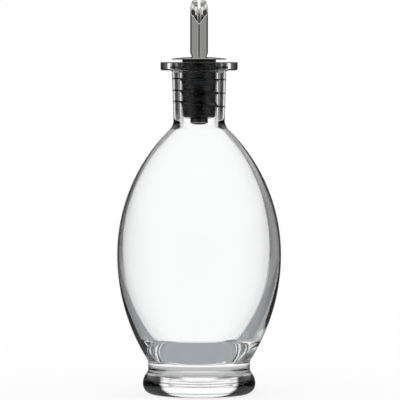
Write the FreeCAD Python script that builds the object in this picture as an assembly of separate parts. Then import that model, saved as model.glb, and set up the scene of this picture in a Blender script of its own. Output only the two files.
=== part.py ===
# Oil bottle: an egg-shaped glass bottle on a solid foot, closed by a finned stopper with a pinched steel spout.
# Millimetres, +Z up. The origin is the middle of the standing face, and the spout's low side faces -Y.
import FreeCAD
import Part
import math
import os

# Glass bottle, outside
bottle_height = 162.0
belly_radius = 40.0
belly_height = 68.0
foot_radius = 27.5
foot_corner_radius = 5.0
waist_radius = 24.8
waist_height = 15.0
waist_fillet = 7.0
neck_base_radius = 12.5
neck_top_radius = 13.2
neck_base_height = 133.5
shoulder_fillet = 6.0
rim_radius = 18.8
rim_thickness = 4.1
rim_upper_round = 0.6
rim_lower_round = 1.0
rim_fillet = 1.2

# Glass bottle, underside: a flat ring round a shallow hollow
standing_ring_width = 6.0
underside_hollow = 0.9

# Glass bottle, inside
bore_radius = 9.4
bore_length = 29.0
bore_fillet = 9.0
mouth_round = 0.7
belly_wall = 3.9
belly_inner_height = 71.0
lower_inner_arc = 72.0
cone_top_height = 28.7
cone_bend_radius = 4.0
cone_lean_degrees = 48.0
floor_height = 16.4
floor_corner_radius = 14.0

# Stopper
disc_gap = 1.15
stopper_length = 27.75
fin_count = 4
fin_pitch = 5.98
first_fin_depth = 2.15
fin_reach = 1.15
fin_tip_thickness = 0.5
fin_root_thickness = 1.7
fin_lift = 0.4
fin_clearance = 0.06
stopper_taper = 0.35
stopper_chamfer = 0.6
boss_wall = 0.5
boss_length = 1.9
tube_clearance = 0.05

# Collar disc: a shallow dome
disc_radius = 13.3
disc_thickness = 0.5
dome_rise = 1.7
solder_gap = 0.03

# Spout: a round tube pressed into a pointed front and a cleft back, and cut off at a slant
tube_radius = 3.8
sheet_thickness = 0.35
tube_tail = 2.2
pinch_height = 3.2
flare_height = 1.5
foot_width = 7.3
foot_front = 2.9
spout_width = 8.7
spout_depth = 5.7
keel_rise = 2.92
cleft_width = 1.2
cleft_depth = 2.05
keel_round = 0.8
side_round = 0.5
back_round = 2.5
lip_round = 0.6
cleft_round = 0.5
keel_cut_height = 14.6
tip_height = 26.8

SECTION_POINTS = 96
PINCH_STEPS = 6

# Heights and the dome that several pieces share
disc_bottom = bottle_height + disc_gap
dome_top = disc_bottom + dome_rise + disc_thickness
dome_inner_radius = (disc_radius ** 2 + dome_rise ** 2) / (2 * dome_rise)
dome_centre_height = disc_bottom + dome_rise - dome_inner_radius
stopper_bottom = disc_bottom - stopper_length
tube_bottom = stopper_bottom - tube_tail


def at(radius, height):
    """A point of a turned profile."""
    return FreeCAD.Vector(radius, 0, height)


def line(start, end):
    return Part.LineSegment(start, end).toShape()


def arc(centre, start, end):
    """The shorter arc from start to end about centre."""
    to_start = start - centre
    halfway = (to_start + (end - centre)).normalize() * to_start.Length
    return Part.Arc(start, centre + halfway, end).toShape()


def s_curve(wide, tight, tight_radius):
    """Two tangent arcs between two upright tangents. The one at the tight end has tight_radius."""
    across = tight.x - wide.x
    side = math.copysign(1, across)
    both_radii = (across ** 2 + (tight.z - wide.z) ** 2) / (2 * abs(across))
    wide_radius = both_radii - tight_radius
    wide_centre = at(wide.x + side * wide_radius, wide.z)
    tight_centre = at(tight.x - side * tight_radius, tight.z)
    joint = wide_centre + (tight_centre - wide_centre) * (wide_radius / both_radii)
    return [arc(wide_centre, wide, joint), arc(tight_centre, joint, tight)]


def turned(edges):
    """The solid of revolution of a closed profile about the upright axis."""
    wire = Part.Wire(Part.__sortEdges__(edges))
    axis = FreeCAD.Vector(0, 0, 1)
    return Part.Face(wire).revolve(FreeCAD.Vector(0, 0, 0), axis, 360)


def polygon(points):
    """The edges of a closed polygon."""
    return [line(a, b) for a, b in zip(points, points[1:] + points[:1])]


def bottle_foot_edges():
    """From the axis under the bottle out over the standing ring to the foot's widest point."""
    ring_outer = foot_radius - foot_corner_radius
    ring_inner = ring_outer - standing_ring_width
    hollow_radius = (ring_inner ** 2 + underside_hollow ** 2) / (2 * underside_hollow)
    hollow_centre = at(0, underside_hollow - hollow_radius)
    corner_centre = at(ring_outer, foot_corner_radius)
    return [
        arc(hollow_centre, at(0, underside_hollow), at(ring_inner, 0)),
        line(at(ring_inner, 0), at(ring_outer, 0)),
        arc(corner_centre, at(ring_outer, 0), at(foot_radius, foot_corner_radius)),
    ]


def bottle_side_edges():
    """From the foot's widest point over the waist, the belly and the shoulder to the neck."""
    foot = at(foot_radius, foot_corner_radius)
    waist = at(waist_radius, waist_height)
    belly = at(belly_radius, belly_height)
    neck = at(neck_base_radius, neck_base_height)
    return (
        s_curve(foot, waist, waist_fillet)
        + s_curve(belly, waist, waist_fillet)
        + s_curve(belly, neck, shoulder_fillet)
    )


def bottle_rim_edges():
    """From the neck round the rim to the mouth."""
    upper_round = min(rim_upper_round, 0.45 * rim_thickness)
    lower_round = min(rim_lower_round, 0.45 * rim_thickness)
    rim_bottom = bottle_height - rim_thickness
    neck_top = at(neck_top_radius, rim_bottom - rim_fillet)
    under_rim = at(neck_top_radius + rim_fillet, rim_bottom)
    lower_in = at(rim_radius - lower_round, rim_bottom)
    lower_out = at(rim_radius, rim_bottom + lower_round)
    upper_out = at(rim_radius, bottle_height - upper_round)
    upper_in = at(rim_radius - upper_round, bottle_height)
    mouth_top = at(bore_radius + mouth_round, bottle_height)
    mouth_side = at(bore_radius, bottle_height - mouth_round)
    return [
        line(at(neck_base_radius, neck_base_height), neck_top),
        arc(at(under_rim.x, neck_top.z), neck_top, under_rim),
        line(under_rim, lower_in),
        arc(at(lower_in.x, lower_out.z), lower_in, lower_out),
        line(lower_out, upper_out),
        arc(at(upper_in.x, upper_out.z), upper_out, upper_in),
        line(upper_in, mouth_top),
        arc(at(mouth_top.x, mouth_side.z), mouth_top, mouth_side),
    ]


def wall_normal(lean):
    """The way out of the chamber through a wall that leans outwards by lean from upright."""
    return at(math.cos(lean), -math.sin(lean))


def bottle_inner_edges():
    """From the mouth down the bore, the belly's inside and a round-tipped cone to the axis above the thick floor."""
    mouth_side = at(bore_radius, bottle_height - mouth_round)
    bore_base = at(bore_radius, bottle_height - bore_length)
    belly = at(belly_radius - belly_wall, belly_inner_height)
    side_lean = math.asin((belly.z - cone_top_height) / lower_inner_arc)
    side_centre = at(belly.x - lower_inner_arc, belly.z)
    side_end = side_centre + wall_normal(side_lean) * lower_inner_arc
    cone_lean = math.radians(cone_lean_degrees)
    bend_centre = side_end - wall_normal(side_lean) * cone_bend_radius
    cone_top = bend_centre + wall_normal(cone_lean) * cone_bend_radius
    floor_radius = cone_top.x - (cone_top.z - floor_height) * math.tan(cone_lean)
    tangent_share = math.tan((math.pi / 2 - cone_lean) / 2)
    corner = min(floor_corner_radius, 0.9 * floor_radius / tangent_share)
    corner_centre = at(floor_radius - corner * tangent_share, floor_height + corner)
    corner_top = corner_centre + wall_normal(cone_lean) * corner
    corner_bottom = at(corner_centre.x, floor_height)
    return (
        [line(mouth_side, bore_base)]
        + s_curve(belly, bore_base, bore_fillet)
        + [
            arc(side_centre, belly, side_end),
            arc(bend_centre, side_end, cone_top),
            line(cone_top, corner_top),
            arc(corner_centre, corner_top, corner_bottom),
            line(corner_bottom, at(0, floor_height)),
        ]
    )


def glass_bottle():
    """One piece of glass: solid foot, egg-shaped belly, neck and rim."""
    axis_edge = line(at(0, floor_height), at(0, underside_hollow))
    return turned(
        bottle_foot_edges() + bottle_side_edges() + bottle_rim_edges() + bottle_inner_edges() + [axis_edge]
    )


def dome_point(radius, offset):
    """A point at a radius from the axis, offset outwards from the dome's underside."""
    sphere = dome_inner_radius + offset
    return at(radius, dome_centre_height + math.sqrt(sphere ** 2 - radius ** 2))


def dome_arc(start_radius, end_radius, offset):
    """An arc offset from the dome's underside, between two radii."""
    halfway = dome_point((start_radius + end_radius) / 2, offset)
    return Part.Arc(dome_point(start_radius, offset), halfway, dome_point(end_radius, offset)).toShape()


def core_radius(height):
    """The stopper's radius between the fins, which tapers towards the bottom."""
    top_radius = bore_radius - fin_reach
    return top_radius - stopper_taper * (disc_bottom - height) / stopper_length


def stopper():
    """A moulded stopper: its head fits under the dome, its thin fins bear on the bore and a boss holds the tube."""
    inner = tube_radius + tube_clearance
    fin_radius = bore_radius - fin_clearance
    head_radius = core_radius(disc_bottom)
    outline = [dome_point(head_radius, -solder_gap), at(head_radius, disc_bottom)]
    for index in range(fin_count):
        tip_top = bottle_height - first_fin_depth - index * fin_pitch
        root_top = tip_top - fin_lift
        root_bottom = root_top - fin_root_thickness
        outline += [
            at(core_radius(root_top), root_top),
            at(fin_radius, tip_top),
            at(fin_radius, tip_top - fin_tip_thickness),
            at(core_radius(root_bottom), root_bottom),
        ]
    chamfer_top = stopper_bottom + stopper_chamfer
    outline += [
        at(core_radius(chamfer_top), chamfer_top),
        at(core_radius(stopper_bottom) - stopper_chamfer, stopper_bottom),
        at(inner + boss_wall, stopper_bottom),
        at(inner + boss_wall, stopper_bottom - boss_length),
        at(inner, stopper_bottom - boss_length),
        dome_point(inner, -solder_gap),
    ]
    sides = [line(a, b) for a, b in zip(outline, outline[1:])]
    return turned(sides + [dome_arc(inner, head_radius, -solder_gap)])


def collar_disc():
    """The domed plate on the stopper's head, with a hole of the spout's own section."""
    axis_bottom = dome_point(0, 0)
    axis_top = dome_point(0, disc_thickness)
    plate = turned([
        dome_arc(0, disc_radius, 0),
        line(dome_point(disc_radius, 0), dome_point(disc_radius, disc_thickness)),
        dome_arc(disc_radius, 0, disc_thickness),
        line(axis_top, axis_bottom),
    ])
    hole = Part.Face(rounded_outline(foot_corners(), -solder_gap))
    hole.translate(FreeCAD.Vector(0, 0, disc_bottom))
    return plate.cut(hole.extrude(FreeCAD.Vector(0, 0, 2 * (dome_top - disc_bottom))))


def spout_corners():
    """The right half of the spout's outside as corners and their rounding, from the keel to the cleft."""
    front = -spout_depth / 2
    back = spout_depth / 2
    half = spout_width / 2
    cleft_half = cleft_width / 2
    side_turn = math.pi / 2 - math.atan2(keel_rise, half)
    side_room = spout_depth - keel_rise - side_round * math.tan(side_turn / 2)
    back_room = half - cleft_half - lip_round
    return [
        (0, front, keel_round),
        (half, front + keel_rise, side_round),
        (half, back, min(back_round, 0.99 * side_room, 0.99 * back_room)),
        (cleft_half, back, lip_round),
        (cleft_half, back - cleft_depth, cleft_round),
    ]


def rounded_outline(corners, inset):
    """A closed wire round the corners, moved inwards by inset, with every corner rounded."""
    mirrored = [(-x, y, rounding) for x, y, rounding in reversed(corners[1:])]
    corners = corners + mirrored
    points = [FreeCAD.Vector(x, y, 0) for x, y, _ in corners]
    count = len(points)
    ways = [(points[(i + 1) % count] - points[i]).normalize() for i in range(count)]
    starts, ends, centres = [], [], []
    for i, (_, _, rounding) in enumerate(corners):
        before, after = ways[i - 1], ways[i]
        turn = before.cross(after).z
        side = math.copysign(1, turn)
        radius = rounding - side * inset
        half_turn = math.atan2(turn, before.dot(after)) / 2
        bisector = (after - before).normalize()
        centre = points[i] + bisector * (rounding / math.cos(half_turn))
        sideways = side * radius
        centres.append(centre)
        starts.append(centre + FreeCAD.Vector(before.y, -before.x, 0) * sideways)
        ends.append(centre + FreeCAD.Vector(after.y, -after.x, 0) * sideways)
    edges = []
    for i in range(count):
        edges.append(arc(centres[i], starts[i], ends[i]))
        following = starts[(i + 1) % count]
        if (following - ends[i]).Length > 1e-6:
            edges.append(line(ends[i], following))
    return Part.Wire(edges)


def foot_corners():
    """The same section, smaller and further forward, so that it passes through the stopper's round hole."""
    scale = foot_width / spout_width
    front = -spout_depth / 2
    return [(x * scale, (y - front) * scale - foot_front, rounding * scale) for x, y, rounding in spout_corners()]


def section_points(corners, inset):
    outline = rounded_outline(corners, inset)
    return outline.discretize(Number=SECTION_POINTS + 1)[:-1]


def spout_core(inset, bottom, top):
    """The spout's form without its slanting cut, moved inwards by inset, as a solid."""
    wide = section_points(spout_corners(), inset)
    foot = section_points(foot_corners(), inset)
    radius = tube_radius - inset
    ring = []
    for index in range(SECTION_POINTS):
        angle = 2 * math.pi * index / SECTION_POINTS - math.pi / 2
        ring.append(FreeCAD.Vector(radius * math.cos(angle), radius * math.sin(angle), 0))
    levels = [(bottom, ring, ring, 0)]
    for step in range(PINCH_STEPS + 1):
        share = step / PINCH_STEPS
        smooth = share * share * (3 - 2 * share)
        levels.append((disc_bottom - (1 - share) * pinch_height, ring, foot, smooth))
    for step in range(PINCH_STEPS + 1):
        share = step / PINCH_STEPS
        smooth = share * share * (3 - 2 * share)
        levels.append((dome_top + share * flare_height, foot, wide, smooth))
    levels.append((top, wide, wide, 1))
    sections = []
    for height, first, second, blend in levels:
        lift = FreeCAD.Vector(0, 0, height)
        curve = Part.BSplineCurve()
        curve.interpolate([a * (1 - blend) + b * blend + lift for a, b in zip(first, second)], PeriodicFlag=True)
        sections.append(Part.Wire(curve.toShape()))
    return Part.makeLoft(sections, True, True)


def pour_spout():
    """A thin tube, round in the stopper and pinched above the disc, cut from a low keel to two high tips."""
    overshoot = 5.0
    low = dome_top + keel_cut_height
    high = dome_top + tip_height
    tube = spout_core(0, tube_bottom, high + overshoot)
    tube = tube.cut(spout_core(sheet_thickness, tube_bottom - overshoot, high + 2 * overshoot))
    front = -spout_depth / 2
    back = spout_depth / 2
    slope = (high - low) / spout_depth
    reach = spout_depth
    half = spout_width
    profile = [
        FreeCAD.Vector(-half, front - reach, low - reach * slope),
        FreeCAD.Vector(-half, back + reach, high + reach * slope),
        FreeCAD.Vector(-half, front - reach, high + reach * slope),
    ]
    waste = Part.Face(Part.Wire(polygon(profile))).extrude(FreeCAD.Vector(2 * half, 0, 0))
    return tube.cut(waste)


def main():
    os.makedirs("parts", exist_ok=True)
    pieces = {
        "glass_bottle": glass_bottle(),
        "stopper": stopper(),
        "collar_disc": collar_disc(),
        "pour_spout": pour_spout(),
    }
    for name, shape in pieces.items():
        solid = shape.Solids[0] if len(shape.Solids) == 1 else shape
        print(name, "solids", len(shape.Solids), "valid", solid.isValid(), "volume", round(solid.Volume, 1))
        solid.exportStep(f"parts/{name}.step")


main()
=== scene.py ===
import bisect
import bpy
import math
from mathutils import Matrix, Vector


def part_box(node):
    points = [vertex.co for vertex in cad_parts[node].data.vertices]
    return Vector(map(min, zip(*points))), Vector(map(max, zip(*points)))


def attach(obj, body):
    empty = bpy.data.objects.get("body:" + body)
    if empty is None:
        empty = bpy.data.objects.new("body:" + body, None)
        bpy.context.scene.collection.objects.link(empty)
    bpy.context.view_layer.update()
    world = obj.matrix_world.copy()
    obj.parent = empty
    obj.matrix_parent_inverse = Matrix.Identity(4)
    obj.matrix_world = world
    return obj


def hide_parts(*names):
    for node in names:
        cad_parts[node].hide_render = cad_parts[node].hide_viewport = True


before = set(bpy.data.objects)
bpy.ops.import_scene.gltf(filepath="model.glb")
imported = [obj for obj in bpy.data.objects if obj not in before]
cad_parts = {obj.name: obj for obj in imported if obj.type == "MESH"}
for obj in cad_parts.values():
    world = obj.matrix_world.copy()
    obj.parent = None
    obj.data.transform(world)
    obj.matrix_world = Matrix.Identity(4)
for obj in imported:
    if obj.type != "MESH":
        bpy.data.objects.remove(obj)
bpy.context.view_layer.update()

MM = 0.001

# Outside of the bottle, in millimetres. A pair is a radius and a height
BELLY = (40.0, 68.0)
FOOT = (27.5, 5.0)
WAIST = (24.85, 12.6)
WAIST_TOP = 15.2
NECK_BASE = (12.5, 133.5)
NECK_TOP_RADIUS = 13.2
FOOT_FILLET = 3.9
BODY_FILLET = 3.2
SHOULDER_FILLET = 6.0
RIM_RADIUS = 18.8
RIM_THICKNESS = 4.1
RIM_UPPER_ROUND = 0.6
RIM_LOWER_ROUND = 1.0
RIM_FILLET = 1.2
BOTTLE_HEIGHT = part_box("glass_bottle")[1].z / MM
RING_WIDTH = 6.0
UNDERSIDE_HOLLOW = 0.9

# Bore and chamber, in millimetres. The chamber stands off the axis up to SHIFT_FULL_HEIGHT
BORE_RADIUS = 9.4
BORE_BASE_HEIGHT = 135.5
BORE_FILLET = 8.0
MOUTH_ROUND = 0.7
BELLY_INNER = (37.0, 71.0)
LOWER_INNER_ARC = 75.0
CONE_TOP_HEIGHT = 28.7
CONE_BEND = 4.0
CONE_LEAN = math.radians(50)
FLOOR_HEIGHT = 16.2
FLOOR_CORNER = 18.0
CHAMBER_SHIFT = 1.1
SHIFT_FULL_HEIGHT = 75.0
SHIFT_END_HEIGHT = 130.0

# Disc, in millimetres
DISC_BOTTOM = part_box("collar_disc")[0].z / MM
DISC_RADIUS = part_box("collar_disc")[1].x / MM
DISC_THICKNESS = 0.5
DISC_EDGE_ROUND = 0.06
# Band at the disc's rim that gets painted shade
DISC_CUT_EDGE = (0.1, 0.03)  # in from the rim
DOME_RISE = 0.9
DOME_TOP = DISC_BOTTOM + DISC_THICKNESS + DOME_RISE

# Stopper, in millimetres. The fins are listed from the top
CLEARANCE = 0.02
BOSS_LENGTH = 1.9
BOSS_WALL = 0.5
STOPPER_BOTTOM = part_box("stopper")[0].z / MM + BOSS_LENGTH
STOPPER_TAPER = 0.35
STOPPER_CHAMFER = 0.6
FIN_TIPS = (159.85, 154.4, 148.65, 143.3)
FIN_DROOP = (0.0, 0.55, 1.45, 2.75)
FIN_REACH = 1.15
FIN_PRESS = 0.03
FIN_TIP_THICKNESS = 0.55
FIN_ROOT_THICKNESS = 2.5
FIN_LIFT = 0.4

# Spout's tube and pressed section, in millimetres
TUBE_RADIUS = 3.8
TUBE_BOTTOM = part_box("pour_spout")[0].z / MM
SPOUT_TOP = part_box("pour_spout")[1].z / MM
SHEET = 0.35
PINCH_HEIGHT = 3.2
FLARE_HEIGHT = 2.2
FOOT_WIDTH = 7.3
FOOT_FRONT = 2.78
SPOUT_WIDTH = 8.7
SPOUT_DEPTH = 5.7
KEEL_RISE = 2.92
KEEL_ROUND = 1.2
SIDE_ROUND = 1.9
LOBE_ROUND = 1.7
CLEFT_WIDTH = 1.2
CLEFT_DEPTH = 2.05
CLEFT_EDGE_ROUND = 0.6
CLEFT_BOTTOM_ROUND = 0.5

# Spout's cut, in millimetres, where the sheet thins to a lip. Beyond CUT_FLAT_HALF the cut falls away
KEEL_CUT = SPOUT_TOP - 12.2
CUT_FLAT_HALF = 2.6
CUT_FALL = 0.35  # times the square of the distance
LIP_THICKNESS = 0.1
LIP_HEIGHT = 2.5

# Inside of the spout's two lobes, in millimetres, where the sheet leans inwards below a slanting crease
LOBE_FRONT = 0.4
LOBE_INNER_SIDE = 0.9
LOBE_OUTER_SIDE = 3.8
LOBE_SIDE_FADE = 0.4
LOBE_THICKENING = 1.0
LOBE_LEAN = 0.25  # share per millimetre below the crease
LOBE_BOTTOM = SPOUT_TOP - 9.65
LOBE_BOTTOM_FADE = 3.2
CREASE_HEIGHT = SPOUT_TOP - 4.23
CREASE_SLOPE = 0.6

# Fineness of the meshes
GLASS_SEGMENTS = 192
STOPPER_SEGMENTS = 128
ROUND_POINTS = 256
CORNER_STEPS = 12
DISC_STEPS = 12
TUBE_STEPS = 8
BLEND_STEPS = 12
SPOUT_STEPS = 40
LEAST_ARC_STEPS = 5
LEAST_RUN_STEPS = 2
ON_AXIS = 1e-6  # millimetres

# Angles in degrees above which an edge is shaded sharp
SHARP = 35
DISC_SHARP = 30
SPOUT_SHARP = 20

# Colours
GLASS_CLEAR = (0.995, 1.0, 0.998, 1)
# Painted shade, put into the glass's colour where its surface turns away
GLASS_PAINTED_SHADE = (0.0004, 0.00045, 0.0005, 1)
GLASS_REFLECTION = (0.3, 0.3, 0.3, 1)
STEEL_DARK = (0.73, 0.725, 0.71, 1)
STEEL_PALE = (0.81, 0.805, 0.79, 1)
# Painted shade on the disc's cut edge
DISC_CUT_SHADE = (0.16, 0.16, 0.155, 1)
# Painted shade, with a grain, on the spout's sheared edge
SHEARED_SHADE_DARK = (0.12, 0.12, 0.115, 1)
SHEARED_SHADE_PALE = (0.24, 0.24, 0.235, 1)
RUBBER_CLEAN = (0.0045, 0.0045, 0.005, 1)
RUBBER_DUSTY = (0.012, 0.012, 0.012, 1)
FLOOR_WHITE = (0.97, 0.97, 0.97, 1)
WHITE = (1, 1, 1, 1)
COOL_WHITE = (0.88, 0.95, 1, 1)

# Roughness and gloss
GLASS_IOR = 1.5
STEEL_ROUGHNESS = (0.06, 0.13)
SMUDGE_ROUGHNESS = (0.0, 0.06)
DISC_CUT_ROUGHNESS = 0.4
SHEARED_ROUGHNESS = (0.35, 0.5)
RUBBER_ROUGHNESS = (0.25, 0.29)
RUBBER_SPECULAR = 0.45
DUST_ROUGHNESS = 0.1

# Noise, in repeats per metre along each axis
GLASS_WAVES = (70, 70, 35)
GLASS_RIPPLES = (420, 420, 90)
TURNED_LINES = (3500, 0, 0)
DRAWN_LINES = (1900, 1900, 45)
SMUDGES = (160, 160, 90)
SHEARED_GRAIN = (900, 900, 900)
RUBBER_GRAIN = (2600, 2600, 2600)
MOULD_RINGS = (40, 40, 900)
DUST = (700, 700, 700)

# Noise values: where most of them lie, where dust shows, and how much the ripples add to the waves
NOISE_RANGE = (0.3, 0.7)
DUST_LIMITS = (0.60, 0.78)
RIPPLE_SHARE = 0.15

# Heights in millimetres at which the glass's painted shade is given the foot's slope, and the least value
# given
FOOT_STOPS = (0.0, 0.5, 1.0, 2.0, 3.0, FOOT[1], 8.0, 9.0, 10.17, 11.0, WAIST[1])
LEAST_UPRIGHT = 0.15

# Greys of the walls that reflections show, from the camera's side to the back, inside glass and outside it
WALLS_INSIDE = [
    (0.0, 0.05), (0.03, 0.05), (0.067, 0.35), (0.2, 0.5), (0.31, 0.36), (0.37, 0.25), (0.46, 0.04),
    (0.727, 0.04), (0.787, 0.25), (0.883, 0.22), (0.97, 0.22), (0.985, 0.4), (0.993, 1.0), (1.0, 1.0),
]
WALLS_OUTSIDE = [
    (0.0, 0.03), (0.055, 0.03), (0.085, 0.35), (0.2, 0.5), (0.313, 0.34), (0.37, 0.3), (0.43, 0.05),
    (0.96, 0.05), (1.0, 0.12),
]

# Shares of the bright ceiling and the grey ground that reflections show, from straight down to straight up
CEILING_INSIDE = [(0.0, 0.0), (0.66, 0.0), (0.9, 1.0), (1.0, 1.0)]
CEILING_OUTSIDE = [(0.0, 0.0), (0.575, 0.0), (0.66, 1.0), (1.0, 1.0)]
GROUND = [(0.0, 1.0), (0.25, 1.0), (0.44, 0.0), (1.0, 0.0)]
GROUND_GREY = 0.40

# Floor, in metres, and how much of it is plain white to the camera and through the glass
FLOOR_HALF = 3.0
PLAIN_TO_CAMERA = 0.75
PLAIN_THROUGH_GLASS = 0.9

# Camera, in metres
CAMERA_PLACE = Vector((0.00044, -1.735, 0.164))
CAMERA_TARGET = Vector((0.00044, 0, 0.09472))
WIDTH_SEEN = 0.1952
SENSOR_WIDTH_MM = 36
CLIP_END = 50


def point_between(first, last, share):
    """The point at a share of the way from first to last."""
    return tuple(a + (b - a) * share for a, b in zip(first, last))


def arc(centre, start, end, step):
    """Points of the shorter arc from start to end about centre, without the last one."""
    first = math.atan2(start[1] - centre[1], start[0] - centre[0])
    last = math.atan2(end[1] - centre[1], end[0] - centre[0])
    turn = (last - first + math.pi) % (2 * math.pi) - math.pi
    radius = math.dist(start, centre)
    count = max(LEAST_ARC_STEPS, round(abs(turn) * radius / step))
    points = []
    for i in range(count):
        angle = first + turn * i / count
        points.append((centre[0] + radius * math.cos(angle), centre[1] + radius * math.sin(angle)))
    return points


def straight(start, end, step):
    """Points of a straight run, without the last one."""
    count = max(LEAST_RUN_STEPS, round(math.dist(start, end) / step))
    return [point_between(start, end, i / count) for i in range(count)]


def arc_pair(start, end, tight_radius, tight_first):
    """First centre, joint and last centre of two tangent arcs that start and end upright, one tight."""
    across = end[0] - start[0]
    side = math.copysign(1, across)
    both = (across ** 2 + (end[1] - start[1]) ** 2) / (2 * abs(across))
    first_radius = tight_radius if tight_first else both - tight_radius
    first_centre = (start[0] + side * first_radius, start[1])
    last_centre = (end[0] - side * (both - first_radius), end[1])
    return first_centre, point_between(first_centre, last_centre, first_radius / both), last_centre


def s_curve(start, end, tight_radius, tight_first, step):
    """Points of the two arcs of arc_pair, without the last one."""
    first_centre, joint, last_centre = arc_pair(start, end, tight_radius, tight_first)
    return arc(first_centre, start, joint, step) + arc(last_centre, joint, end, step)


def bottle_outside():
    """The glass from the middle of its underside, up the outside and over the rim to the bore."""
    ring_outer = FOOT[0] - FOOT[1]
    ring_inner = ring_outer - RING_WIDTH
    hollow_radius = (ring_inner ** 2 + UNDERSIDE_HOLLOW ** 2) / (2 * UNDERSIDE_HOLLOW)
    hollow_centre = (0, UNDERSIDE_HOLLOW - hollow_radius)
    waist_top = (WAIST[0], WAIST_TOP)
    rim_bottom = BOTTLE_HEIGHT - RIM_THICKNESS
    neck_top = (NECK_TOP_RADIUS, rim_bottom - RIM_FILLET)
    under_rim = (NECK_TOP_RADIUS + RIM_FILLET, rim_bottom)
    lower_in = (RIM_RADIUS - RIM_LOWER_ROUND, rim_bottom)
    lower_out = (RIM_RADIUS, rim_bottom + RIM_LOWER_ROUND)
    upper_out = (RIM_RADIUS, BOTTLE_HEIGHT - RIM_UPPER_ROUND)
    upper_in = (RIM_RADIUS - RIM_UPPER_ROUND, BOTTLE_HEIGHT)
    mouth_top = (BORE_RADIUS + MOUTH_ROUND, BOTTLE_HEIGHT)
    mouth_side = (BORE_RADIUS, BOTTLE_HEIGHT - MOUTH_ROUND)
    points = arc(hollow_centre, (0, UNDERSIDE_HOLLOW), (ring_inner, 0), step=0.8)
    points += straight((ring_inner, 0), (ring_outer, 0), step=1.0)
    points += arc((ring_outer, FOOT[1]), (ring_outer, 0), FOOT, step=0.3)
    points += s_curve(FOOT, WAIST, FOOT_FILLET, tight_first=False, step=0.3)
    points += straight(WAIST, waist_top, step=0.5)
    points += s_curve(waist_top, BELLY, BODY_FILLET, tight_first=True, step=0.6)
    points += s_curve(BELLY, NECK_BASE, SHOULDER_FILLET, tight_first=False, step=0.8)
    points += straight(NECK_BASE, neck_top, step=1.2)
    points += arc((under_rim[0], neck_top[1]), neck_top, under_rim, step=0.2)
    points += straight(under_rim, lower_in, step=0.8)
    points += arc((lower_in[0], lower_out[1]), lower_in, lower_out, step=0.2)
    points += straight(lower_out, upper_out, step=0.6)
    points += arc((upper_in[0], upper_out[1]), upper_out, upper_in, step=0.2)
    points += straight(upper_in, mouth_top, step=1.0)
    points += arc((mouth_top[0], mouth_side[1]), mouth_top, mouth_side, step=0.15)
    return points


def moved(start, lean, distance):
    """A point moved at right angles to a wall that leans outwards by lean from upright."""
    return start[0] + distance * math.cos(lean), start[1] - distance * math.sin(lean)


def bottle_inside():
    """The glass from the mouth down the bore and the chamber's side and cone to the middle of its floor."""
    mouth_side = (BORE_RADIUS, BOTTLE_HEIGHT - MOUTH_ROUND)
    bore_base = (BORE_RADIUS, BORE_BASE_HEIGHT)
    side_lean = math.asin((BELLY_INNER[1] - CONE_TOP_HEIGHT) / LOWER_INNER_ARC)
    side_centre = (BELLY_INNER[0] - LOWER_INNER_ARC, BELLY_INNER[1])
    side_end = moved(side_centre, side_lean, LOWER_INNER_ARC)
    bend_centre = moved(side_end, side_lean, -CONE_BEND)
    cone_top = moved(bend_centre, CONE_LEAN, CONE_BEND)
    floor_radius = cone_top[0] - (cone_top[1] - FLOOR_HEIGHT) * math.tan(CONE_LEAN)
    flat_radius = floor_radius - FLOOR_CORNER * math.tan((math.pi / 2 - CONE_LEAN) / 2)
    corner_centre = (flat_radius, FLOOR_HEIGHT + FLOOR_CORNER)
    corner_top = moved(corner_centre, CONE_LEAN, FLOOR_CORNER)
    corner_bottom = (flat_radius, FLOOR_HEIGHT)
    floor_middle = (0, FLOOR_HEIGHT)
    points = straight(mouth_side, bore_base, step=1.2)
    points += s_curve(bore_base, BELLY_INNER, BORE_FILLET, tight_first=True, step=0.8)
    points += arc(side_centre, BELLY_INNER, side_end, step=0.8)
    points += arc(bend_centre, side_end, cone_top, step=0.2)
    points += straight(cone_top, corner_top, step=0.8)
    points += arc(corner_centre, corner_top, corner_bottom, step=0.4)
    points += straight(corner_bottom, floor_middle, step=0.8)
    points.append(floor_middle)
    return points


def foot_upright(height):
    """How upright the foot's side is at a height, from 0 for its level underside to 1 for a wall."""
    swell_centre, joint, _ = arc_pair(FOOT, WAIST, FOOT_FILLET, tight_first=False)
    if height < FOOT[1]:
        middle, radius = FOOT[1], FOOT[1]
    elif height < joint[1]:
        middle, radius = FOOT[1], FOOT[0] - swell_centre[0]
    else:
        middle, radius = WAIST[1], FOOT_FILLET
    return math.sqrt(1 - ((height - middle) / radius) ** 2)


def mesh_object(name, verts, faces, sharp=SHARP):
    """A new piece in the scene, shaded smooth apart from its sharp edges."""
    mesh = bpy.data.meshes.new(name)
    mesh.from_pydata(verts, [], faces)
    mesh.validate()
    mesh.update()
    mesh.shade_smooth()
    mesh.set_sharp_from_angle(angle=math.radians(sharp))
    piece = bpy.data.objects.new(name, mesh)
    bpy.context.scene.collection.objects.link(piece)
    return piece


def lathe(name, profile, segments, warp):
    """Turns a profile about the upright axis. One that starts or ends on the axis is closed with a pole."""
    verts, faces, rings = [], [], []
    for index, (radius, height) in enumerate(profile):
        if radius < ON_AXIS:
            rings.append([len(verts)])
            verts.append((0, 0, height * MM))
            continue
        ring = []
        for k in range(segments):
            angle = 2 * math.pi * k / segments
            place = warp(index, radius * math.cos(angle), radius * math.sin(angle), height)
            ring.append(len(verts))
            verts.append(tuple(c * MM for c in place))
        rings.append(ring)
    closed = len(rings[0]) > 1 and len(rings[-1]) > 1
    next_rings = rings[1:] + rings[:1] if closed else rings[1:]
    for low, high in zip(rings, next_rings):
        for k in range(segments):
            n = (k + 1) % segments
            if len(low) == 1:
                faces.append((low[0], high[n], high[k]))
            elif len(high) == 1:
                faces.append((low[k], low[n], high[0]))
            else:
                faces.append((low[k], low[n], high[n], high[k]))
    return mesh_object(name, verts, faces)


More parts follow.
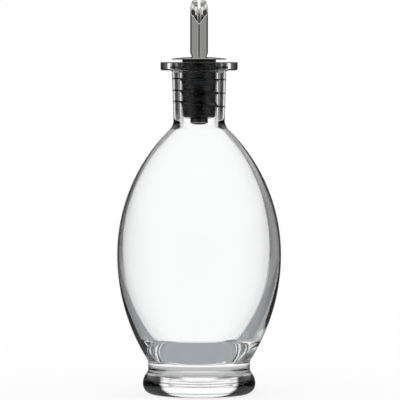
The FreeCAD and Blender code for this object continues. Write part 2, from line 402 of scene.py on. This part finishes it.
def make_glass():
    """The bottle, with its chamber set to the left of the axis so that the right wall is thicker."""
    outside = bottle_outside()

    def warp(index, x, y, z):
        if index < len(outside):
            return x, y, z
        fade = max(0, z - SHIFT_FULL_HEIGHT) / (SHIFT_END_HEIGHT - SHIFT_FULL_HEIGHT)
        return x - CHAMBER_SHIFT * max(0, 1 - fade ** 2), y, z

    return lathe("bottle_glass", outside + bottle_inside(), GLASS_SEGMENTS, warp)


def dome_height(radius, offset):
    """Height of the disc's underside at a radius from the axis, moved outwards by offset."""
    inner = (DISC_RADIUS ** 2 + DOME_RISE ** 2) / (2 * DOME_RISE)
    return DISC_BOTTOM + DOME_RISE - inner + math.sqrt((inner + offset) ** 2 - radius ** 2)


def core_radius(height):
    """Radius of the stopper between its fins. It tapers downwards."""
    depth = (DISC_BOTTOM - height) / (DISC_BOTTOM - STOPPER_BOTTOM)
    return BORE_RADIUS - FIN_REACH - STOPPER_TAPER * depth


def make_stopper():
    """The stopper. Each row of its profile has a radius, a height and how far it droops on the right."""
    hole = TUBE_RADIUS + CLEARANCE
    fin = BORE_RADIUS + FIN_PRESS
    head = core_radius(DISC_BOTTOM)
    core_end = core_radius(STOPPER_BOTTOM)
    boss_bottom = STOPPER_BOTTOM - BOSS_LENGTH
    rows = [
        (hole, dome_height(hole, -CLEARANCE), 0),
        (head, dome_height(head, -CLEARANCE), 0),
        (head, DISC_BOTTOM, 0),
    ]
    for tip, droop in zip(FIN_TIPS, FIN_DROOP):
        root_top = tip - FIN_LIFT
        root_bottom = root_top - FIN_ROOT_THICKNESS
        rows += [
            (core_radius(root_top), root_top, 0),
            (fin, tip, droop),
            (fin, tip - FIN_TIP_THICKNESS, droop),
            (core_radius(root_bottom), root_bottom, 0),
        ]
    rows += [
        (core_end, STOPPER_BOTTOM + STOPPER_CHAMFER, 0),
        (core_end - STOPPER_CHAMFER, STOPPER_BOTTOM, 0),
        (hole + BOSS_WALL, STOPPER_BOTTOM, 0),
        (hole + BOSS_WALL, boss_bottom, 0),
        (hole, boss_bottom, 0),
    ]
    rows.reverse()

    def warp(index, x, y, z):
        side = 0.5 + 0.5 * x / math.hypot(x, y)
        return x, y, z - rows[index][2] * side

    return lathe("stopper_rubber", [row[:2] for row in rows], STOPPER_SEGMENTS, warp)


def spout_corners(foot):
    """The pressed section's corners and their rounding, from the keel round, at its foot or full size."""
    front, back = -SPOUT_DEPTH / 2, SPOUT_DEPTH / 2
    half, cleft = SPOUT_WIDTH / 2, CLEFT_WIDTH / 2
    corners = [
        (0, front, KEEL_ROUND),
        (half, front + KEEL_RISE, SIDE_ROUND),
        (half, back, LOBE_ROUND),
        (cleft, back, CLEFT_EDGE_ROUND),
        (cleft, back - CLEFT_DEPTH, CLEFT_BOTTOM_ROUND),
    ]
    if foot:
        scale = FOOT_WIDTH / SPOUT_WIDTH
        corners = [(x * scale, (y - front) * scale - FOOT_FRONT, r * scale) for x, y, r in corners]
    return corners + [(-x, y, r) for x, y, r in reversed(corners[1:])]


def spaced_evenly(outline, first):
    """Points at even distances along a closed outline, from its point with the number first."""
    lengths = [0.0]
    for a, b in zip(outline, outline[1:] + outline[:1]):
        lengths.append(lengths[-1] + (b - a).length)
    even = []
    for k in range(ROUND_POINTS):
        target = (lengths[first] + lengths[-1] * k / ROUND_POINTS) % lengths[-1]
        i = bisect.bisect_right(lengths, target) - 1
        share = (target - lengths[i]) / (lengths[i + 1] - lengths[i])
        even.append(outline[i].lerp(outline[(i + 1) % len(outline)], share))
    return even


def spout_outline(corners, inset):
    """Evenly spaced points round the corners, from the keel, moved inwards by inset."""
    points = [Vector((x, y)) for x, y, _ in corners]
    ways = [(b - a).normalized() for a, b in zip(points, points[1:] + points[:1])]
    outline = []
    for i, (_, _, rounding) in enumerate(corners):
        before, after = ways[i - 1], ways[i]
        turn = before.x * after.y - before.y * after.x
        side = math.copysign(1, turn)
        radius = side * (rounding - side * inset)
        half_turn = math.atan2(turn, before.dot(after)) / 2
        centre = points[i] + (after - before).normalized() * (rounding / math.cos(half_turn))
        for step in range(CORNER_STEPS + 1):
            normal = Vector((before.y, -before.x))
            normal.rotate(Matrix.Rotation(2 * half_turn * step / CORNER_STEPS, 2))
            outline.append(centre + normal * radius)
    return spaced_evenly(outline, CORNER_STEPS // 2)


def circle(radius):
    """Evenly spaced points round the axis, from the front."""
    turns = [2 * math.pi * k / ROUND_POINTS - math.pi / 2 for k in range(ROUND_POINTS)]
    return [Vector((radius * math.cos(turn), radius * math.sin(turn))) for turn in turns]


def closed_columns(name, columns, sharp):
    """A ring-shaped skin. Each column is a closed loop of points, and the columns go round the axis."""
    rows = len(columns[0])
    verts = [tuple(c * MM for c in point) for column in columns for point in column]
    faces = []
    for k in range(len(columns)):
        n = (k + 1) % len(columns)
        for row in range(rows):
            up = (row + 1) % rows
            faces.append((k * rows + row, n * rows + row, n * rows + up, k * rows + up))
    return mesh_object(name, verts, faces, sharp)


def make_disc():
    """The domed plate, with a hole that fits the spout's foot."""
    hole = spout_outline(spout_corners(foot=True), -CLEARANCE)
    edge_bottom = dome_height(DISC_RADIUS, 0)
    edge_heights = (edge_bottom + DISC_EDGE_ROUND, edge_bottom + DISC_THICKNESS - DISC_EDGE_ROUND)
    columns = []
    for near, way in zip(hole, circle(1.0)):
        far = way * (DISC_RADIUS - DISC_EDGE_ROUND)
        across = [near.lerp(far, step / DISC_STEPS) for step in range(DISC_STEPS + 1)]
        column = [(*point, dome_height(point.length, 0)) for point in across]
        column += [(*(way * DISC_RADIUS), height) for height in edge_heights]
        column += [(*point, dome_height(point.length, DISC_THICKNESS)) for point in reversed(across)]
        columns.append(column)
    return closed_columns("collar_plate", columns, DISC_SHARP)


def spout_cut(point):
    """Height of the slanting cut over a point of the section. It falls away at the sides."""
    slope = (SPOUT_TOP - KEEL_CUT) / SPOUT_DEPTH
    fall = CUT_FALL * max(0, abs(point.x) - CUT_FLAT_HALF) ** 2
    return KEEL_CUT + (point.y + SPOUT_DEPTH / 2) * slope - fall


def clamped_share(value, start, end):
    """How far value has come from start to end, held between 0 and 1."""
    return max(0, min(1, (value - start) / (end - start)))


def smooth_rows(first, last, bottom, rise):
    """Places that climb by rise from bottom and pass smoothly from one section's point to another's."""
    rows = []
    for step in range(BLEND_STEPS + 1):
        share = step / BLEND_STEPS
        point = first.lerp(last, share * share * (3 - 2 * share))
        rows.append((*point, bottom + rise * share))
    return rows


def lobe_share(point, height):
    """How far the inside of a lobe leans inwards at a place, from 0 to 1."""
    across = abs(point.x)
    if point.y <= LOBE_FRONT or across <= LOBE_INNER_SIDE:
        return 0
    under_crease = max(0, CREASE_HEIGHT + CREASE_SLOPE * across - height)
    from_side = clamped_share(across, LOBE_OUTER_SIDE, LOBE_OUTER_SIDE - LOBE_SIDE_FADE)
    from_bottom = clamped_share(height, LOBE_BOTTOM, LOBE_BOTTOM + LOBE_BOTTOM_FADE)
    return min(LOBE_LEAN * under_crease * from_side, from_bottom)


def spout_skin(inset):
    """Columns of places up the outside of the sheet, or up its inside where inset is its thickness."""
    tube = circle(TUBE_RADIUS - inset)
    foot = spout_outline(spout_corners(foot=True), inset)
    full = spout_corners(foot=False)
    wide = spout_outline(full, inset)
    lip = spout_outline(full, min(inset, LIP_THICKNESS))
    thick = spout_outline(full, inset + LOBE_THICKENING)
    pinch_bottom = DISC_BOTTOM - PINCH_HEIGHT
    flare_top = DOME_TOP + FLARE_HEIGHT
    tube_step = (pinch_bottom - TUBE_BOTTOM) / TUBE_STEPS
    columns = []
    for k in range(ROUND_POINTS):
        top = spout_cut(lip[k])
        column = straight((*tube[k], TUBE_BOTTOM), (*tube[k], pinch_bottom), tube_step)
        column += smooth_rows(tube[k], foot[k], pinch_bottom, PINCH_HEIGHT)
        column += smooth_rows(foot[k], wide[k], DOME_TOP, FLARE_HEIGHT)
        for step in range(1, SPOUT_STEPS + 1):
            height = flare_top + (top - flare_top) * step / SPOUT_STEPS
            point = wide[k].lerp(lip[k], clamped_share(height, top - LIP_HEIGHT, top))
            if inset:
                point = point.lerp(thick[k], lobe_share(point, height))
            column.append((*point, height))
        columns.append(column)
    return columns


def make_spout():
    """The tube and its pressed spout. The sheared edge at the back takes the second material, darkened with
    painted shade.
    """
    outer = spout_skin(0)
    inner = spout_skin(SHEET)
    columns = [up + down[::-1] for up, down in zip(outer, inner)]
    spout = closed_columns("spout_tube", columns, SPOUT_SHARP)
    edge_row = len(outer[0]) - 1
    for face in spout.data.polygons:
        if face.index % len(columns[0]) == edge_row and face.center.y > 0:
            face.material_index = 1
    return spout


def feed(tree, node, inputs):
    """Gives a node's inputs, by name or number, a constant or another node's output."""
    for key, value in inputs.items():
        if isinstance(value, bpy.types.NodeSocket):
            tree.links.new(value, node.inputs[key])
        else:
            node.inputs[key].default_value = value


def add(tree, kind, inputs=None, **settings):
    """A new node with its settings made and its inputs fed."""
    node = tree.nodes.new(kind)
    for key, value in settings.items():
        setattr(node, key, value)
    feed(tree, node, inputs or {})
    return node


def compute(tree, operation, *values):
    """The result of a math node. Each value is a number or another node's output."""
    return add(tree, "ShaderNodeMath", dict(enumerate(values)), operation=operation).outputs[0]


def mix_values(tree, factor, first, second):
    """A number between first and second."""
    return add(tree, "ShaderNodeMix", {0: factor, 2: first, 3: second}, data_type="FLOAT").outputs[0]


def mix_colours(tree, factor, first, second):
    """A colour between first and second."""
    return add(tree, "ShaderNodeMix", {0: factor, 6: first, 7: second}, data_type="RGBA").outputs[2]


def grey_ramp(tree, factor, stops, interpolation="EASE"):
    """A grey scale along factor. Each stop is a position and a grey."""
    node = add(tree, "ShaderNodeValToRGB", {0: factor})
    ramp = node.color_ramp
    ramp.interpolation = interpolation
    while len(ramp.elements) < len(stops):
        ramp.elements.new(0.5)
    for element, (position, grey) in zip(ramp.elements, stops):
        element.position = position
        element.color = (grey, grey, grey, 1)
    return node.outputs["Color"]


def either_ramp(tree, choice, factor, first, second):
    """The first of two grey scales along factor where choice is 0, and the second where it is 1."""
    return mix_values(tree, choice, grey_ramp(tree, factor, first), grey_ramp(tree, factor, second))


def smooth_step(tree, value, start, end):
    """0 before start, 1 after end and a smooth rise between. start may lie above end."""
    limits = {"Value": value, "From Min": start, "From Max": end}
    return add(tree, "ShaderNodeMapRange", limits, interpolation_type="SMOOTHSTEP").outputs[0]


def spread(tree, value, low, high):
    """A noise value, which lies mostly in NOISE_RANGE, spread out from low to high."""
    least, most = NOISE_RANGE
    limits = {"Value": value, "From Min": least, "From Max": most, "To Min": low, "To Max": high}
    return add(tree, "ShaderNodeMapRange", limits).outputs[0]


def noise(tree, place, scale, detail=3.0):
    """Noise over a place, with its own scale along each axis."""
    stretched = add(tree, "ShaderNodeMapping", {"Vector": place, "Scale": scale}).outputs[0]
    texture = {"Vector": stretched, "Scale": 1.0, "Detail": detail}
    return add(tree, "ShaderNodeTexNoise", texture).outputs["Fac"]


def relief(tree, value, shader, distance, strength):
    """Lets a value raise the surface by a distance in metres."""
    bump = add(tree, "ShaderNodeBump", {"Height": value, "Distance": distance, "Strength": strength})
    feed(tree, shader, {"Normal": bump.outputs[0]})


def as_share(tree, value):
    """A value from -1 to 1 as a share from 0 to 1."""
    return compute(tree, "MULTIPLY_ADD", value, 0.5, 0.5)


def from_axis(tree, x, y):
    """Distance from the upright axis."""
    squares = compute(tree, "ADD", compute(tree, "MULTIPLY", x, x), compute(tree, "MULTIPLY", y, y))
    return compute(tree, "SQRT", squares)


def happened(tree, depth):
    """1 where a depth, which counts what happened to a ray on its way, is at least one, and else 0."""
    return compute(tree, "GREATER_THAN", depth, 0.5)


def never(tree, depth):
    """1 where a ray's depth is zero, and else 0."""
    return compute(tree, "LESS_THAN", depth, 0.5)


def new_material(name):
    """A new material, its node tree and its shader."""
    material = bpy.data.materials.new(name)
    material.use_nodes = True
    tree = material.node_tree
    return material, tree, tree.nodes["Principled BSDF"]


def place_on(tree):
    """The place of the point that is shaded, in metres."""
    return add(tree, "ShaderNodeTexCoord").outputs["Object"]


def glass_material():
    """Clear glass with painted shade where its surface turns away, as glass looks before a white
    background.
    """
    material, tree, shader = new_material("clear_glass")
    place = place_on(tree)
    feed(tree, shader, {"Transmission Weight": 1.0, "Roughness": 0.0})
    feed(tree, shader, {"IOR": GLASS_IOR, "Specular Tint": GLASS_REFLECTION})
    height = add(tree, "ShaderNodeSeparateXYZ", {0: place}).outputs[2]
    facing = add(tree, "ShaderNodeLayerWeight").outputs["Facing"]
    stops = [(stop / WAIST[1], max(LEAST_UPRIGHT, foot_upright(stop))) for stop in FOOT_STOPS]
    upright = grey_ramp(tree, compute(tree, "DIVIDE", height, WAIST[1] * MM), stops, "LINEAR")
    away = compute(tree, "DIVIDE", compute(tree, "SUBTRACT", 1.0, facing), upright)
    foot_facing = compute(tree, "SUBTRACT", 1.0, away)

    def band(strength, measure, rise=None, fall=None, above=None, below=None):
        """A share of painted shade that comes and goes with a measure, between heights in millimetres."""
        for limits in filter(None, (rise, fall)):
            strength = compute(tree, "MULTIPLY", smooth_step(tree, measure, *limits), strength)
        for start, end in filter(None, (above, below)):
            strength = compute(tree, "MULTIPLY", smooth_step(tree, height, start * MM, end * MM), strength)
        return strength

    foot = [
        band(0.999, foot_facing, rise=(0.19, 0.27), below=(10.6, 9.6)),
        band(0.85, foot_facing, rise=(0.19, 0.27), above=(9.6, 10.6), below=(14, 12.8)),
        band(0.72, foot_facing, above=(9.4, 10.4), below=(13, 12.1)),
    ]
    body = [
        band(0.90, facing, rise=(0.50, 0.60), above=(15, 16.5), below=(22.5, 19.5)),
        band(0.80, facing, rise=(0.82, 0.90), above=(16, 20), below=(70, 40)),
        band(0.955, facing, rise=(0.72, 0.79), above=(40, 70), below=(128, 122)),
        band(0.80, facing, rise=(0.62, 0.72), above=(116, 126), below=(139, 131)),
    ]
    neck = [
        band(0.95, facing, rise=(0.35, 0.42), fall=(0.66, 0.58), above=(130, 139), below=(157.5, 156.5)),
    ]
    rim = [
        band(0.97, facing, rise=(0.18, 0.23), fall=(0.34, 0.30), above=(157.4, 158.2)),
        band(0.985, facing, rise=(0.385, 0.45), above=(157.4, 158.2)),
    ]
    painted_shade, *others = foot + body + neck + rim
    for other in others:
        painted_shade = compute(tree, "MAXIMUM", painted_shade, other)
    ripples = compute(tree, "MULTIPLY", noise(tree, place, GLASS_RIPPLES, detail=2.0), RIPPLE_SHARE)
    waves = compute(tree, "ADD", noise(tree, place, GLASS_WAVES, detail=1.0), ripples)
    # The glass's colour takes the painted shade from the bands above
    feed(tree, shader, {"Base Color": mix_colours(tree, painted_shade, GLASS_CLEAR, GLASS_PAINTED_SHADE)})
    relief(tree, waves, shader, distance=0.0001, strength=0.25)
    return material


def steel_material(name, turned):
    """Polished sheet steel: drawn lines up the spout, or turned lines and a plain cut edge on the disc,
    darkened with painted shade.
    """
    material, tree, shader = new_material(name)
    place = place_on(tree)
    if turned:
        x, y, _ = add(tree, "ShaderNodeSeparateXYZ", {0: place}).outputs
        radius = from_axis(tree, x, y)
        lines = noise(tree, add(tree, "ShaderNodeCombineXYZ", {0: radius}).outputs[0], TURNED_LINES)
    else:
        lines = noise(tree, place, DRAWN_LINES)
    smudges = noise(tree, place, SMUDGES)
    colour = mix_colours(tree, lines, STEEL_DARK, STEEL_PALE)
    rough = compute(
        tree, "ADD", spread(tree, lines, *STEEL_ROUGHNESS), spread(tree, smudges, *SMUDGE_ROUGHNESS)
    )
    if turned:
        # Painted shade: the disc's cut edge is darkened in colour, and made rougher
        edge = smooth_step(tree, radius, *((DISC_RADIUS - inset) * MM for inset in DISC_CUT_EDGE))
        colour = mix_colours(tree, edge, colour, DISC_CUT_SHADE)
        rough = mix_values(tree, edge, rough, DISC_CUT_ROUGHNESS)
    feed(tree, shader, {"Metallic": 1.0, "Base Color": colour, "Roughness": rough})
    relief(tree, lines, shader, distance=0.00002, strength=0.25)
    return material


def shaded_edge_material():
    """The sheared edge of the sheet: duller than its polished face, and darker with painted shade."""
    material, tree, shader = new_material("sheared_steel_painted_shade")
    place = place_on(tree)
    grain = noise(tree, place, SHEARED_GRAIN)
    colour = mix_colours(tree, grain, SHEARED_SHADE_DARK, SHEARED_SHADE_PALE)
    rough = spread(tree, grain, *SHEARED_ROUGHNESS)
    feed(tree, shader, {"Metallic": 1.0, "Base Color": colour, "Roughness": rough})
    return material


def rubber_material():
    """Moulded rubber: a fine grain, faint rings from the mould and a little dust."""
    material, tree, shader = new_material("black_rubber")
    place = place_on(tree)
    dust = smooth_step(tree, noise(tree, place, DUST, detail=5.0), *DUST_LIMITS)
    colour = mix_colours(tree, dust, RUBBER_CLEAN, RUBBER_DUSTY)
    rings = spread(tree, noise(tree, place, MOULD_RINGS), *RUBBER_ROUGHNESS)
    rough = compute(tree, "ADD", rings, compute(tree, "MULTIPLY", dust, DUST_ROUGHNESS))
    feed(tree, shader, {"Specular IOR Level": RUBBER_SPECULAR, "Base Color": colour, "Roughness": rough})
    relief(tree, noise(tree, place, RUBBER_GRAIN), shader, distance=0.00002, strength=0.1)
    return material


def make_world():
    """White to the camera and as light on surfaces. Rays that were reflected see a grey studio instead."""
    world = bpy.data.worlds.new("studio")
    bpy.context.scene.world = world
    world.use_nodes = True
    tree = world.node_tree
    path = add(tree, "ShaderNodeLightPath").outputs
    direction = add(tree, "ShaderNodeTexCoord").outputs["Generated"]
    x, y, z = add(tree, "ShaderNodeSeparateXYZ", {0: direction}).outputs
    behind = as_share(tree, compute(tree, "DIVIDE", y, from_axis(tree, x, y)))
    height = as_share(tree, z)
    inside = happened(tree, path["Transmission Depth"])
    once_or_twice = compute(tree, "COMPARE", path["Glossy Depth"], 1.5, 0.9)
    mirrored = compute(tree, "MULTIPLY", once_or_twice, never(tree, path["Diffuse Depth"]))
    ceiling = either_ramp(tree, inside, height, CEILING_OUTSIDE, CEILING_INSIDE)
    walls = either_ramp(tree, inside, behind, WALLS_OUTSIDE, WALLS_INSIDE)
    ground = grey_ramp(tree, height, GROUND)
    studio = mix_values(tree, ceiling, mix_values(tree, ground, walls, GROUND_GREY), 1.0)
    colour = mix_colours(tree, compute(tree, "MULTIPLY", mirrored, ground), WHITE, COOL_WHITE)
    strength = mix_values(tree, mirrored, 1.0, studio)
    feed(tree, tree.nodes["Background"], {"Color": colour, "Strength": strength})


def make_floor():
    """A white floor that keeps some of its shading. Rays that were reflected pass on to the studio."""
    signs = ((-1, -1), (1, -1), (1, 1), (-1, 1))
    floor = mesh_object("floor", [(x * FLOOR_HALF, y * FLOOR_HALF, 0) for x, y in signs], [(0, 1, 2, 3)])
    material, tree, shader = new_material("floor_white")
    feed(tree, shader, {"Base Color": FLOOR_WHITE, "Roughness": 1.0, "Specular IOR Level": 0.0})
    path = add(tree, "ShaderNodeLightPath").outputs
    direct = never(tree, path["Diffuse Depth"])
    mirrored = compute(tree, "MULTIPLY", happened(tree, path["Glossy Depth"]), direct)
    through = compute(tree, "MULTIPLY", happened(tree, path["Transmission Depth"]), direct)
    plain_through = compute(tree, "MULTIPLY", through, PLAIN_THROUGH_GLASS)
    plain = compute(tree, "MULTIPLY_ADD", path["Is Camera Ray"], PLAIN_TO_CAMERA, plain_through)
    white = add(tree, "ShaderNodeEmission").outputs[0]
    clear = add(tree, "ShaderNodeBsdfTransparent").outputs[0]
    seen = add(tree, "ShaderNodeMixShader", {0: plain, 1: shader.outputs[0], 2: white}).outputs[0]
    whole = add(tree, "ShaderNodeMixShader", {0: mirrored, 1: seen, 2: clear}).outputs[0]
    feed(tree, tree.nodes["Material Output"], {"Surface": whole})
    floor.data.materials.append(material)


def make_camera():
    """A camera at about the rim's height that looks a little down."""
    data = bpy.data.cameras.new("camera")
    camera = bpy.data.objects.new("camera", data)
    bpy.context.scene.collection.objects.link(camera)
    back = CAMERA_PLACE - CAMERA_TARGET
    camera.location = CAMERA_PLACE
    camera.rotation_euler = back.to_track_quat("Z", "Y").to_euler()
    data.sensor_width = SENSOR_WIDTH_MM
    data.lens = SENSOR_WIDTH_MM * back.length / WIDTH_SEEN
    data.clip_end = CLIP_END
    bpy.context.scene.camera = camera


glass = make_glass()
stopper = make_stopper()
disc = make_disc()
spout = make_spout()
glass.data.materials.append(glass_material())
stopper.data.materials.append(rubber_material())
disc.data.materials.append(steel_material("turned_steel", turned=True))
spout.data.materials.append(steel_material("drawn_steel", turned=False))
spout.data.materials.append(shaded_edge_material())
for piece, body, node, slot in (
    (glass, "bottle", "glass_bottle", "clear_glass"),
    (stopper, "stopper", "stopper", "black_rubber"),
    (disc, "spout", "collar_disc", "polished_steel"),
    (spout, "spout", "pour_spout", "polished_steel"),
):
    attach(piece, body)
    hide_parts(node)

make_world()
make_floor()
make_camera()
bpy.context.scene.view_settings.view_transform = "Standard"

bpy.context.view_layer.update()
